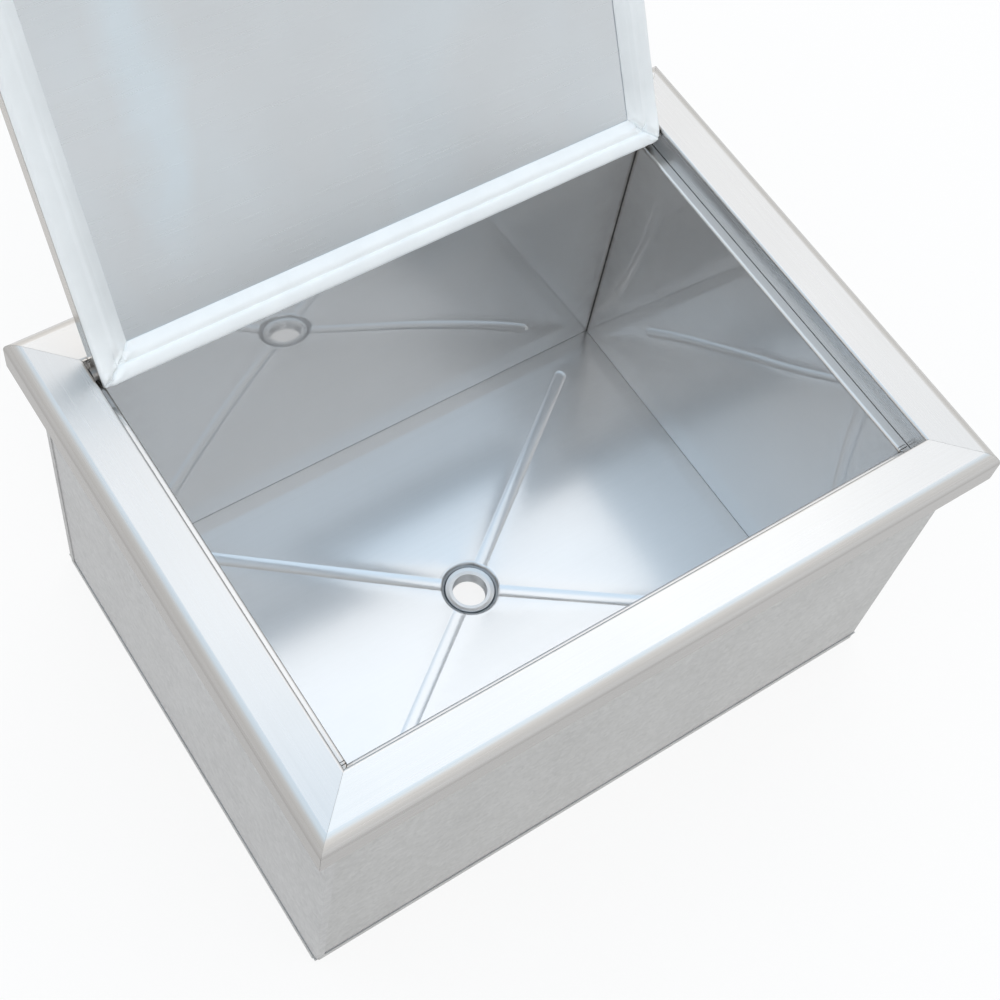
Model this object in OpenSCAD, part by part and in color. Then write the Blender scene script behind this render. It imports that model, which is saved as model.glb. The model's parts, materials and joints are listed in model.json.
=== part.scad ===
// Drop-in ice bin: an insulated basin under a wide rolled rim, with a hinged lid that leans back when open.
// The origin is on the drain's axis, level with the underside of the base.
// X runs along the front from left to right, Y runs to the back and Z runs up.
// The lid is drawn open, with its top leaning on the rim's inner back edge.

/* [Rim] */
// Length of the rim, left to right
rim_l = 610; // [540:1:760]
// Width of the rim, front to back
rim_w = 460; // [400:1:560]
// Height of the rim's top above the base
bin_h = 332; // [280:1:420]
// Width of each rim section, from its outer edge to its inner face
rim_flange = 44; // [38:1:56]
// Radius of the rolled outer edge
roll_r = 11; // [8:0.5:14]
// Height of the apron, from the rim's top to its hem
apron_h = 32; // [24:1:40]
// Width of the hem turned in under the apron
apron_hem = 6; // [4:0.5:9]
// Outer radius of the bend at the rim's inner edge
edge_r = 2.5; // [2:0.25:3]
// Thickness of the rim's sheet
rim_sheet = 1.2; // [0.9:0.1:1.5]
// Gap left along each mitre of the rim after welding
rim_seam = 0.1; // [0.05:0.05:0.3]
// Width of the flange inside the rim that carries the basin
seat_w = 6; // [4:0.5:6.5]

/* [Basin] */
// Width of the ledge between the rim's inner face and the basin
ledge_w = 9.5; // [9:0.5:14]
// Outer radius of the bend from the ledge into the wall
ledge_r = 2.5; // [2:0.25:3]
// Gap between the ledge and the rim's inner face
ledge_seam = 0.5; // [0.2:0.1:0.8]
// Thickness of the basin's sheet
basin_sheet = 1.2; // [0.9:0.1:1.5]
// Gap along the basin's corner and floor seams
basin_seam = 0.5; // [0.3:0.1:0.9]
// Height of the floor's edge above the base
floor_space = 30; // [29:1:60]
// Width of the level border round the floor
floor_border = 14; // [8:1:24]
// Fall of the floor from its border to the drain
floor_dish = 11; // [6:0.5:12]
// Width of the pressed beads
bead_w = 9; // [7:0.5:12]
// Depth of the pressed beads
bead_depth = 1.3; // [1:0.1:2.5]
// Angle by which the beads are steeper than the basin's diagonals
bead_turn = 1.2; // [0:0.2:2]
// How far the beads reach, as a share of the way from the drain to the basin's corner
bead_reach_share = 0.815; // [0.6:0.005:0.83]

/* [Drain] */
// Bore of the drain tube
drain_bore = 32; // [25:1:34]
// Wall of the drain tube
drain_wall = 3; // [2:0.25:3]
// Diameter of the drain's flange
drain_flange_d = 45; // [44:0.5:45.5]
// Thickness of the drain's flange
drain_flange_t = 1.5; // [1.2:0.1:2]
// Fall of the flange's face towards the bore
drain_face_fall = 0.8; // [0.3:0.1:1]
// Diameter of the recess in the floor, at its top
recess_d = 50.5; // [50:0.5:54]
// Diameter of the recess at its bottom
recess_floor_d = 46.5; // [46.5:0.5:48]
// Depth of the recess
recess_depth = 5; // [4.5:0.25:6.5]
// Radius of the recess's top edge
recess_r = 2; // [2:0.5:3.5]
// Thickness of the sealing washer under the flange
drain_seal_t = 0.8; // [0.6:0.1:1.2]
// Width of the locknut across its corners
drain_nut_d = 52; // [46:1:56]
// Thickness of the locknut
drain_nut_t = 6; // [4:0.5:7]
// Radial gap between the tube and what it passes through
drain_clear = 0.1; // [0.05:0.05:0.2]
// Radial gap between the tube and the hole in the base
base_hole_clear = 1; // [0.5:0.25:3]

/* [Casing] */
// Distance from the rim's outer edge to the casing's outer face
casing_inset = 15; // [13:1:16]
// Thickness of the casing's sheet
casing_sheet = 1; // [0.7:0.1:1.2]
// Width of the flange that wraps round each corner
wrap_w = 8; // [6:0.5:12]
// Outer radius of the casing's bends
wrap_r = 2; // [1.5:0.25:3]
// Width of the flange under the rim
casing_flange_w = 12; // [8:1:13]
// Height of the base pan's outer strip
base_strip_h = 7; // [5:0.5:10]
// Height of the base pan's tongue inside the panels
base_tongue_h = 14; // [8:1:20]
// Gap between the base pan's strip and the panels
base_seam = 0.6; // [0.3:0.1:0.9]
// Length cut away from the base pan's strip at each corner
base_corner_cut = 4; // [3:0.5:8]
// Gap between the insulation and the sheets round it
foam_clear = 0.2; // [0.1:0.1:0.4]
// Room for the hinge pins' heads in the insulation
head_room = 0.6; // [0.4:0.1:1]

/* [Lid] */
// Gap between the lid's sides and the rim
lid_side_gap = 3.5; // [2.5:0.25:5]
// Gap between the lid's front and the rim
lid_front_gap = 2.5; // [2:0.25:5]
// Least gap between the turning lid and the rim behind it
lid_back_gap = 0.7; // [0.5:0.1:1.5]
// Height of the closed lid's top above the rim
lid_proud = 2; // [1:0.25:3]
// Height of the lid's pan
pan_h = 17; // [15:0.5:20]
// Outer radius of the pan's top edges
pan_r = 2; // [1.5:0.25:2.5]
// Thickness of the pan's sheet
pan_sheet = 1; // [0.8:0.1:1.2]
// Width of the pan's return flange
pan_return = 12; // [9:0.5:16]
// Thickness of the lid's inner panel
liner_sheet = 1; // [0.8:0.1:1.2]
// Width of the slot between the pan's return flange and the inner panel
dart_slot = 2.4; // [2:0.1:3]
// Width of the gasket
gasket_w = 27.5; // [24:0.5:32]
// Thickness of the gasket
gasket_t = 8; // [7:0.5:10]
// Radius of the gasket's outer edge
gasket_r = 4; // [3:0.5:5]
// Distance from the gasket's outer edge to the crease along it
crease_place = 12.5; // [11:0.5:15]
// Radius of the gasket on each side of the crease
crease_r = 2; // [1:0.25:2.5]
// Step in thickness across the crease
crease_step = 0.5; // [0.25:0.25:1.5]
// Radius where the gasket falls to its inner lip
shoulder_r = 4; // [3:0.5:5]
// Width of the gasket's inner lip
gasket_lip_w = 3; // [2:0.5:5]
// Thickness of the gasket's inner lip
gasket_lip = 1.5; // [1:0.25:2.5]
// Radius of the gasket's outer edge beside the pan
gasket_top_r = 1; // [0.5:0.25:1.5]
// Thickness of the dart that holds the gasket in the lid
dart_t = 1.6; // [1.2:0.1:1.8]
// Height of the dart
dart_h = 5; // [3.5:0.25:6]
// Width across the dart's barbs
dart_barb = 3.6; // [3.2:0.1:4.5]
// Gap along each mitre of the gasket
gasket_seam = 0.1; // [0.05:0.05:0.3]
// Gap between the gasket and the ledge at its closest
seal_gap = 0.4; // [0.3:0.1:1]

/* [Hinge] */
// Depth of the pins' axis below the rim's top
hinge_drop = 5.5; // [5.5:0.25:7]
// Distance from the pins' axis to the lid's back
hinge_back = 8; // [7:0.25:10]
// Gap between the open lid and the rim's edge that stops it
stop_gap = 0.3; // [0.3:0.1:0.6]
// Diameter of the pins
pin_d = 5; // [4:0.25:5]
// Radial clearance of the pins in their bearing blocks
pin_clear = 0.05; // [0.03:0.01:0.1]
// Diameter of the pins' heads
pin_head_d = 8; // [6.5:0.5:8]
// Thickness of the pins' heads
pin_head_t = 2.5; // [2:0.25:4]
// Thickness of the bearing blocks behind the rim
bearing_t = 10; // [7:0.5:12]
// Length of the bearing blocks along the rim
bearing_l = 18; // [12:1:22]
// Height of the bearing blocks
bearing_h = 14; // [11:0.5:18]
// Radial clearance of the pins in the rim's inner face
face_hole_clear = 0.2; // [0.15:0.05:0.4]
// Most thickness of the blocks inside the lid
holder_t = 10; // [8:0.5:18]
// Diameter of the spacers between the lid and the rim
spacer_d = 10; // [7:0.5:10]
// End gap of the spacers and of the pins' heads
end_clear = 0.4; // [0.3:0.1:0.6]

/* [Handle] */
// Distance between the handle's legs, centre to centre
grip_l = 128; // [110:1:180]
// Diameter of the handle's bar
grip_d = 10; // [9:0.5:13]
// Gap for the fingers between the bar and the lid
grip_gap = 28; // [24:1:35]
// Radius of the handle's bends, at the bar's centre
grip_bend = 14; // [12:1:20]
// Distance from the lid's front edge to the handle
grip_inset = 45; // [35:1:80]
// Diameter of the feet of the handle
foot_d = 17; // [15:0.5:22]
// Thickness of the feet of the handle
foot_t = 3; // [2:0.5:5]
// Diameter of the handle's screws
screw_d = 5; // [4:0.5:6]
// Length of the screws inside the handle
screw_grip = 12; // [8:1:18]
// Diameter of the screws' heads
screw_head_d = 9; // [8:0.5:10]
// Height of the screws' heads
screw_head_t = 3; // [2.5:0.25:4]
// Diameter of the washers under the screws' heads
washer_d = 13; // [11:0.5:16]
// Thickness of those washers
washer_t = 1; // [0.8:0.1:1.5]
// Radial clearance round the screws
screw_clear = 0.3; // [0.2:0.05:0.5]

/* [Hidden] */
$fn = 48;
hull_fn = 32;
over = 1;
// radial gap of a pressed or screwed round joint
tight = 0.02;
// colours
stainless = [0.86, 0.87, 0.88];
polished = [0.74, 0.78, 0.81];
galvanised = [0.72, 0.73, 0.72];
vinyl = [0.90, 0.94, 0.98];
foam_colour = [0.93, 0.88, 0.70];
rubber = [0.15, 0.15, 0.16];

// basin
basin_l = rim_l - 2 * (rim_flange + ledge_w);
basin_w = rim_w - 2 * (rim_flange + ledge_w);
floor_z = floor_space;
dish_l = basin_l - 2 * floor_border;
dish_w = basin_w - 2 * floor_border;
dish_corner = norm([dish_l, dish_w]) / 2;
dish_flat_r = recess_d / 2 + recess_r + basin_sheet;
drain_top_z = floor_z - floor_dish;
recess_z = drain_top_z - recess_depth;

// beads: arcs of a round groove that is bead_w wide and bead_depth deep
bead_r = (pow(bead_w / 2, 2) + pow(bead_depth, 2)) / (2 * bead_depth);
bead_start = recess_d / 2 + bead_w / 4;
bead_end = bead_reach_share * norm([basin_l, basin_w]) / 2 - bead_w / 2;
function dish_fall(r) = floor_dish * (dish_corner - r) / (dish_corner - dish_flat_r);
bead_lift = bead_r - bead_depth;
bead_start_z = floor_z - dish_fall(bead_start) + bead_lift;
bead_rise = dish_fall(bead_start) - dish_fall(bead_end);
bead_run = bead_end - bead_start;
bead_angle = atan2(basin_w, basin_l) + bead_turn;

// drain
drain_r = drain_bore / 2;
tube_r = drain_r + drain_wall;
flange_z = recess_z + drain_seal_t;

// casing: a panel's outer face lies one sheet inside the flanges that wrap over it
panel_y = casing_inset + casing_sheet;
panel_z = base_strip_h + base_seam;
panel_top_z = bin_h - rim_sheet;

// lid in its own frame: origin on the pins' axis, closed, with its top up
lid_top = hinge_drop + lid_proud;
lid_l = rim_l - 2 * (rim_flange + lid_side_gap);
pan_z = lid_top - pan_h;
gasket_z = pan_z - gasket_t;
liner_inset = pan_return + dart_slot;
back_swing = norm([hinge_back - pan_r, lid_top - pan_r]) + pan_r;
pivot_y = rim_w / 2 - rim_flange - back_swing - lid_back_gap;
pivot_z = bin_h - hinge_drop;
lid_w = pivot_y + hinge_back + rim_w / 2 - rim_flange - lid_front_gap;
lid_mid_y = hinge_back - lid_w / 2;

// the gasket's back edge swings down past the ledge as the lid opens
seal_swing = norm([hinge_back - gasket_r, -gasket_z - gasket_r]) + gasket_r;
ledge_z = pivot_z - seal_swing - seal_gap;
face_h = bin_h - ledge_z + basin_sheet + rim_sheet;

// the lid opens until its top meets the bend at the rim's inner back edge
stop_y = rim_w / 2 - rim_flange + edge_r - pivot_y;
stop_z = hinge_drop - edge_r;
open_angle = 180 - asin((lid_top + edge_r + stop_gap) / norm([stop_y, stop_z])) - atan2(stop_z, stop_y);

// hinge
rim_face_x = rim_l / 2 - rim_flange;
lid_side_x = lid_l / 2;
pin_r = pin_d / 2;
bearing_x = rim_face_x + rim_sheet;
bearing_low = bearing_h + rim_sheet - hinge_drop;
head_x = bearing_x + bearing_t + end_clear;
dart_s = pan_return + dart_slot / 2;
holder_deep = min(holder_t, dart_s - dart_barb / 2 - pan_sheet - foam_clear);

// handle
grip_y = hinge_back - lid_w + grip_inset;
leg_h = grip_gap + grip_d / 2 - grip_bend;

// Sides of a rectangle l by w, counted from the front: 0 front, 1 right, 2 back, 3 left.
// In a side's own frame X runs along it, Y runs inwards from its outer edge and Z is up.
function side_len(i, l, w) = i % 2 == 0 ? l : w;

module on_side(i, l, w) {
    rotate([0, 0, 90 * i]) translate([0, -side_len(i + 1, l, w) / 2, 0]) children();
}

// A bar of the given profile along one side, cut at 45 degrees at both ends
module mitred(len, deep, gap) {
    intersection() {
        rotate([90, 0, 90]) linear_extrude(len + 2 * deep, center = true) children();
        linear_extrude(2 * bin_h, center = true)
            polygon([[-len / 2 - deep + gap, -deep], [len / 2 + deep - gap, -deep],
                     [len / 2 - deep - gap, deep], [-len / 2 + deep + gap, deep]]);
    }
}

// The filled shape under a folded sheet, moved in by inset.
// The sheet lies flat from 0 to a with its outer face at 0, and goes down at a to -b.
module fold_fill(a, b, r, inset) {
    more = inset > 0 ? over : 0;
    translate([-more, -b - more]) square([a - r + more, b + more - inset]);
    translate([-more, -b - more]) square([a + more - inset, b + more - r]);
    translate([a - r, -r]) circle(r - inset);
}

module fold(a, b, r, t) {
    difference() {
        fold_fill(a, b, r, 0);
        fold_fill(a, b, r, t);
    }
}

// A block from z = 0 up to h whose four top edges are rounded
module round_top_block(l, w, h, r) {
    module end_shape(width) {
        translate([-width / 2, 0]) square([width, h - r]);
        translate([-width / 2 + r, 0]) square([width - 2 * r, h]);
        for (s = [-1, 1]) translate([s * (width / 2 - r), h - r]) circle(r);
    }
    intersection() {
        rotate([90, 0, 90]) linear_extrude(l, center = true) end_shape(w);
        rotate([90, 0, 0]) linear_extrude(w, center = true) end_shape(l);
    }
}

module centred_box(l, w, z0, z1) {
    translate([-l / 2, -w / 2, z0]) cube([l, w, z1 - z0]);
}

// Rim

// The filled shape under the rim's sheet, moved in by inset, with the rim's top at 0
module rim_fill(inset, drop) {
    translate([roll_r, -roll_r]) circle(roll_r - inset);
    translate([roll_r, -drop]) square([rim_flange - edge_r - roll_r, drop - inset]);
    translate([inset, -drop]) square([rim_flange - 2 * inset, drop - roll_r]);
    translate([rim_flange - edge_r, -edge_r]) circle(edge_r - inset);
    translate([roll_r, -drop]) square([rim_flange - roll_r - inset, drop - edge_r]);
}

module rim_profile() {
    drop = max(apron_h, face_h) + over;
    difference() {
        rim_fill(0, drop);
        rim_fill(rim_sheet, drop + over);
        translate([-over, -drop - over]) square([rim_flange / 2 + over, drop + over - apron_h]);
        translate([rim_flange / 2, -drop - over]) square([rim_flange, drop + over - face_h]);
    }
    translate([0, -apron_h]) square([apron_hem, rim_sheet]);
    translate([rim_flange - rim_sheet, -face_h]) square([rim_sheet + seat_w, rim_sheet]);
}

module rim_section(i) {
    color(stainless) difference() {
        on_side(i, rim_l, rim_w) translate([0, 0, bin_h])
            mitred(side_len(i, rim_l, rim_w), rim_flange + ledge_w, rim_seam) rim_profile();
        for (s = [-1, 1]) on_pivot(s) translate([0, 0, rim_face_x - over])
            cylinder(r = pin_r + face_hole_clear, h = rim_sheet + 2 * over);
    }
}

// Basin

module basin_wall(i) {
    color(polished) on_side(i, rim_l, rim_w) translate([0, 0, ledge_z])
        mitred(side_len(i, rim_l, rim_w), rim_flange + ledge_w, basin_seam)
        translate([rim_flange + ledge_seam, 0])
        fold(ledge_w - ledge_seam, ledge_z - floor_z - basin_seam, ledge_r, basin_sheet);
}

// Everything above the dished floor, with the dish lowered by drop
module dish_fill(drop) {
    hull() {
        centred_box(dish_l, dish_w, floor_z - drop, floor_z + over);
        translate([0, 0, drain_top_z - drop]) cylinder(r = dish_flat_r, h = floor_dish, $fn = hull_fn);
    }
}

module beads(r) {
    slope = atan2(bead_rise, bead_run);
    len = norm([bead_rise, bead_run]);
    for (mx = [0, 1], my = [0, 1]) mirror([mx, 0, 0]) mirror([0, my, 0])
        rotate([0, 0, bead_angle]) translate([bead_start, 0, bead_start_z]) rotate([0, 90 - slope, 0]) {
            sphere(r);
            cylinder(r = r, h = len);
            translate([0, 0, len]) sphere(r);
        }
}

// The recess round the drain, with its top edge rounded, grown by extra outwards and down
module recess_cup(extra) {
    low_r = recess_floor_d / 2;
    top_r = recess_d / 2;
    r = recess_r - extra;
    run = top_r - low_r;
    slant = norm([run, recess_depth]);
    edge = [top_r + r * (slant - run) / recess_depth, recess_depth - r];
    translate([0, 0, recess_z - extra]) rotate_extrude() {
        polygon([[0, 0], [low_r + extra, 0], [top_r + extra, recess_depth], [0, recess_depth]]);
        translate([extra, 0]) difference() {
            polygon([[top_r, recess_depth], [edge[0], recess_depth],
                     [edge[0] - r * recess_depth / slant, edge[1] + r * run / slant]]);
            translate(edge) circle(r);
        }
    }
}

// The floor filled up to its border's level, with its underside extra below its face
module floor_body(extra) {
    centred_box(basin_l + 2 * basin_sheet, basin_w + 2 * basin_sheet, floor_z - extra, floor_z);
    dish_fill(extra);
    beads(bead_r + extra);
    recess_cup(extra);
}

module basin_floor() {
    color(polished) difference() {
        floor_body(basin_sheet);
        centred_box(2 * basin_l, 2 * basin_w, floor_z, bin_h);
        dish_fill(0);
        beads(bead_r);
        recess_cup(0);
        translate([0, 0, recess_z - basin_sheet - over])
            cylinder(r = tube_r + drain_clear, h = basin_sheet + 2 * over);
    }
}

// Drain

module drain_fitting() {
    face_z = flange_z + drain_flange_t;
    rim_r = drain_flange_d / 2;
    cut = drain_face_fall / 2;
    color(stainless) rotate_extrude() polygon([
        [drain_r, 0], [tube_r, 0], [tube_r, flange_z], [rim_r, flange_z],
        [rim_r, face_z - cut], [rim_r - cut, face_z],
        [tube_r, face_z - drain_face_fall], [drain_r, face_z - drain_face_fall]]);
}

module ring(r_in, r_out, h) {
    difference() {
        cylinder(r = r_out, h = h);
        translate([0, 0, -over]) cylinder(r = r_in, h = h + 2 * over);
    }
}

module drain_seal() {
    color(rubber) translate([0, 0, recess_z])
        ring(tube_r + drain_clear, drain_flange_d / 2 - drain_seal_t, drain_seal_t);
}

module drain_locknut() {
    color(stainless) translate([0, 0, recess_z - basin_sheet - drain_nut_t]) difference() {
        cylinder(r = drain_nut_d / 2, h = drain_nut_t, $fn = 6);
        translate([0, 0, -over]) cylinder(r = tube_r + drain_clear, h = drain_nut_t + 2 * over);
    }
}

// Casing

// A panel in its side's frame: its right end wraps round the corner on to the next side,
// and its left end stops clear of the bend of the panel that wraps over it
module casing_panel(i) {
    half = side_len(i, rim_l, rim_w) / 2 - panel_y;
    color(galvanised) on_side(i, rim_l, rim_w) {
        translate([wrap_r - half, panel_y, panel_z]) linear_extrude(panel_top_z - panel_z)
            mirror([0, 1]) fold(2 * half + casing_sheet - wrap_r, wrap_w, wrap_r, casing_sheet);
        translate([-half + casing_flange_w + casing_sheet, panel_y, panel_top_z - casing_sheet])
            cube([2 * (half - casing_flange_w - casing_sheet), casing_flange_w, casing_sheet]);
    }
}

// The base pan's upstand above its strip, from the casing's outer face inwards
module base_joggle() {
    translate([0, base_strip_h - casing_sheet]) square([3 * casing_sheet, casing_sheet]);
    translate([2 * casing_sheet, base_strip_h]) square([casing_sheet, base_tongue_h]);
}

module base_pan() {
    out_l = rim_l - 2 * casing_inset;
    out_w = rim_w - 2 * casing_inset;
    color(galvanised) difference() {
        union() {
            centred_box(out_l - 2 * casing_sheet, out_w - 2 * casing_sheet, 0, casing_sheet);
            for (i = [0:3]) on_side(i, out_l, out_w) {
                len = side_len(i, out_l, out_w);
                translate([base_corner_cut - len / 2, 0, 0])
                    cube([len - 2 * base_corner_cut, casing_sheet, base_strip_h]);
                mitred(len, 4 * casing_sheet, 0) base_joggle();
            }
        }
        translate([0, 0, -over]) cylinder(r = tube_r + base_hole_clear, h = casing_sheet + 2 * over);
    }
}

// The room of a pin's bearing block and head behind the rim
module bearing_room() {
    translate([-bearing_l / 2 - foam_clear, -bearing_low - foam_clear, bearing_x])
        cube([bearing_l + 2 * foam_clear, bearing_low + hinge_drop, bearing_t + foam_clear]);
    translate([0, 0, bearing_x])
        cylinder(r = pin_head_d / 2 + head_room, h = head_x - bearing_x + pin_head_t + head_room);
}

module foam_fill() {
    wall = panel_y + casing_sheet + foam_clear;
    gap = basin_sheet + foam_clear;
    face = rim_flange - rim_sheet - foam_clear;
    color(foam_colour) difference() {
        centred_box(rim_l - 2 * wall, rim_w - 2 * wall, casing_sheet + foam_clear,
                    panel_top_z - casing_sheet - foam_clear);
        difference() {
            centred_box(rim_l, rim_w, 0, base_strip_h + base_tongue_h + foam_clear);
            centred_box(rim_l - 2 * (wall + casing_sheet), rim_w - 2 * (wall + casing_sheet), -over, bin_h);
        }
        centred_box(basin_l + 2 * gap, basin_w + 2 * gap, floor_z - gap, bin_h);
        centred_box(rim_l - 2 * face, rim_w - 2 * face, bin_h - face_h - foam_clear, bin_h);
        dish_fill(gap);
        beads(bead_r + gap);
        recess_cup(gap);
        cylinder(r = tube_r + base_hole_clear, h = bin_h);
        cylinder(r = drain_nut_d / 2 + foam_clear, h = recess_z);
        for (s = [-1, 1]) on_pivot(s) bearing_room();
    }
}

// Hinge

// The pins' axis on the right (s = 1) or the left (s = -1): Z runs outwards along it, and Y is up
module on_pivot(s) {
    translate([0, pivot_y, pivot_z]) mirror([s < 0 ? 1 : 0, 0, 0]) rotate([90, 0, 90]) children();
}

// The same axis on the lid, in the lid's own frame
module on_lid_pivot(s) {
    mirror([s < 0 ? 1 : 0, 0, 0]) rotate([90, 0, 90]) children();
}

module hinge_block(s) {
    color(stainless) difference() {
        translate([0, pivot_y, bin_h]) rotate([0, 0, s * 90]) translate([0, -rim_l / 2, 0])
            rotate([90, 0, 90]) linear_extrude(bearing_l, center = true) intersection() {
                rim_fill(rim_sheet, face_h);
                translate([rim_flange - rim_sheet - bearing_t, -rim_sheet - bearing_h])
                    square([bearing_t, bearing_h]);
            }
        on_pivot(s) translate([0, 0, bearing_x - over])
            cylinder(r = pin_r + pin_clear, h = bearing_t + 2 * over);
    }
}

module pivot_pin(s) {
    color(stainless) on_lid() on_lid_pivot(s) {
        translate([0, 0, lid_side_x - pan_sheet - holder_deep])
            cylinder(r = pin_r, h = head_x + pin_head_t - lid_side_x + pan_sheet + holder_deep);
        translate([0, 0, head_x]) cylinder(r = pin_head_d / 2, h = pin_head_t);
    }
}

module pivot_washer(s) {
    color(stainless) on_lid() on_lid_pivot(s) translate([0, 0, lid_side_x])
        ring(pin_r + tight, spacer_d / 2, lid_side_gap - end_clear);
}

module lid_block(s) {
    deep = hinge_back - pan_sheet;
    low = min(-pan_z - pan_sheet, deep);
    place = lid_side_x - pan_sheet - holder_deep;
    color(stainless) on_lid() on_lid_pivot(s) translate([0, 0, place]) difference() {
        translate([-deep, -low, 0]) cube([2 * deep, low + lid_top - pan_r, holder_deep]);
        translate([0, 0, -over]) cylinder(r = pin_r + tight, h = holder_deep + 2 * over);
    }
}

// Lid

module on_lid() {
    translate([0, pivot_y, pivot_z]) rotate([-open_angle, 0, 0]) children();
}

module at_handle_feet() {
    for (s = [-1, 1]) translate([s * grip_l / 2, grip_y, 0]) children();
}

// The pan's section, from its outer edge inwards and from its underside up
module pan_profile(wide) {
    translate([wide, pan_h]) mirror([1, 0]) fold(wide, pan_h, pan_r, pan_sheet);
    square([pan_return, pan_sheet]);
}

module lid_pan() {
    wide = pan_return + dart_slot;
    color(stainless) on_lid() difference() {
        union() {
            translate([0, lid_mid_y, pan_z]) for (i = [0:3]) on_side(i, lid_l, lid_w)
                mitred(side_len(i, lid_l, lid_w), wide, 0) pan_profile(wide);
            translate([0, lid_mid_y, 0])
                centred_box(lid_l - 2 * wide, lid_w - 2 * wide, lid_top - pan_sheet, lid_top);
        }
        for (s = [-1, 1]) on_lid_pivot(s) translate([0, 0, lid_side_x - pan_sheet - over])
            cylinder(r = pin_r + tight, h = pan_sheet + 2 * over);
        at_handle_feet() translate([0, 0, lid_top - pan_sheet - over])
            cylinder(r = screw_d / 2 + screw_clear, h = pan_sheet + 2 * over);
    }
}

module lid_liner() {
    color(stainless) on_lid() translate([0, lid_mid_y, 0])
        centred_box(lid_l - 2 * liner_inset, lid_w - 2 * liner_inset, pan_z, pan_z + liner_sheet);
}

module lid_foam() {
    gap = pan_sheet + foam_clear;
    low = max(pan_sheet, liner_sheet) + foam_clear;
    pocket = screw_head_t + washer_t + foam_clear;
    slot_l = lid_l - 2 * pan_return;
    slot_w = lid_w - 2 * pan_return;
    color(foam_colour) on_lid() difference() {
        translate([0, lid_mid_y, pan_z]) difference() {
            translate([0, 0, low])
                round_top_block(lid_l - 2 * gap, lid_w - 2 * gap, pan_h - low - gap, pan_r - pan_sheet);
            difference() {
                centred_box(slot_l + dart_slot, slot_w + dart_slot, 0, dart_h + foam_clear);
                centred_box(slot_l - 3 * dart_slot, slot_w - 3 * dart_slot, -over, pan_h);
            }
        }
        for (s = [-1, 1]) on_lid_pivot(s)
            translate([-hinge_back - foam_clear, -pan_h, lid_side_x - pan_sheet - holder_deep - foam_clear])
            cube([2 * (hinge_back + foam_clear), 2 * pan_h, holder_deep + over]);
        at_handle_feet() translate([0, 0, lid_top - pan_sheet - pocket])
            cylinder(r = washer_d / 2 + foam_clear, h = pocket);
    }
}

// A strip of section t high below zero, with its two lower edges rounded
module lobe(s0, s1, r0, r1, t) {
    translate([s0 + r0, r0 - t]) circle(r0);
    translate([s1 - r1, r1 - t]) circle(r1);
    translate([s0 + r0, -t]) square([s1 - s0 - r0 - r1, t]);
    translate([s0, r0 - t]) square([r0, t - r0 - gasket_top_r]);
    translate([s1 - r1, r1 - t]) square([r1, t - r1]);
}

// The gasket's section: a round outer edge, a crease, a shoulder, an inner lip and the dart on top
module gasket_profile() {
    difference() {
        union() {
            lobe(0, crease_place, gasket_r, crease_r, gasket_t);
            lobe(crease_place, gasket_w - gasket_lip_w, crease_r, shoulder_r, gasket_t - crease_step);
            translate([gasket_top_r, -gasket_top_r]) circle(gasket_top_r);
        }
        translate([-over, 0]) square([gasket_w + 2 * over, gasket_t]);
    }
    translate([gasket_top_r, -gasket_lip]) square([gasket_w - gasket_top_r, gasket_lip]);
    translate([dart_s - dart_t / 2, -gasket_lip]) square([dart_t, gasket_lip + dart_h]);
    polygon([[dart_s - dart_barb / 2, dart_h / 2], [dart_s + dart_barb / 2, dart_h / 2], [dart_s, dart_h]]);
}

module gasket_strip(i) {
    color(vinyl) on_lid() translate([0, lid_mid_y, pan_z]) on_side(i, lid_l, lid_w)
        mitred(side_len(i, lid_l, lid_w), gasket_w + over, gasket_seam) gasket_profile();
}

// Handle

module bow_handle() {
    color(stainless) on_lid() difference() {
        union() {
            at_handle_feet() translate([0, 0, lid_top]) {
                cylinder(d = foot_d, h = foot_t);
                cylinder(d = grip_d, h = leg_h);
            }
            translate([0, grip_y, lid_top + leg_h]) rotate([90, 0, 0]) for (m = [0, 1]) mirror([m, 0, 0])
                translate([grip_l / 2 - grip_bend, 0, 0]) rotate_extrude(angle = 90)
                translate([grip_bend, 0]) circle(d = grip_d);
            translate([grip_bend - grip_l / 2, grip_y, lid_top + leg_h + grip_bend]) rotate([0, 90, 0])
                cylinder(d = grip_d, h = grip_l - 2 * grip_bend);
        }
        at_handle_feet() translate([0, 0, lid_top - over])
            cylinder(r = screw_d / 2 + tight, h = over + screw_grip + foot_t);
    }
}

module handle_screws() {
    seat = lid_top - pan_sheet - washer_t;
    color(stainless) on_lid() at_handle_feet() {
        translate([0, 0, seat - screw_head_t]) cylinder(d = screw_head_d, h = screw_head_t);
        translate([0, 0, seat]) cylinder(d = screw_d, h = lid_top - seat + screw_grip);
    }
}

module handle_washers() {
    color(stainless) on_lid() at_handle_feet() translate([0, 0, lid_top - pan_sheet - washer_t])
        ring(screw_d / 2 + screw_clear, washer_d / 2, washer_t);
}

rim_section(0);  // rim_front
rim_section(1);  // rim_right
rim_section(2);  // rim_back
rim_section(3);  // rim_left
basin_wall(0);  // basin_front
basin_wall(1);  // basin_right
basin_wall(2);  // basin_back
basin_wall(3);  // basin_left
basin_floor();
casing_panel(0);  // casing_front
casing_panel(1);  // casing_right
casing_panel(2);  // casing_back
casing_panel(3);  // casing_left
base_pan();
foam_fill();
drain_fitting();
drain_seal();
drain_locknut();
hinge_block(-1);  // hinge_block_left
hinge_block(1);  // hinge_block_right
lid_pan();
lid_liner();
lid_foam();
gasket_strip(0);  // gasket_front
gasket_strip(1);  // gasket_right
gasket_strip(2);  // gasket_back
gasket_strip(3);  // gasket_left
lid_block(-1);  // lid_block_left
lid_block(1);  // lid_block_right
pivot_pin(-1);  // pivot_pin_left
pivot_pin(1);  // pivot_pin_right
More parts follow.
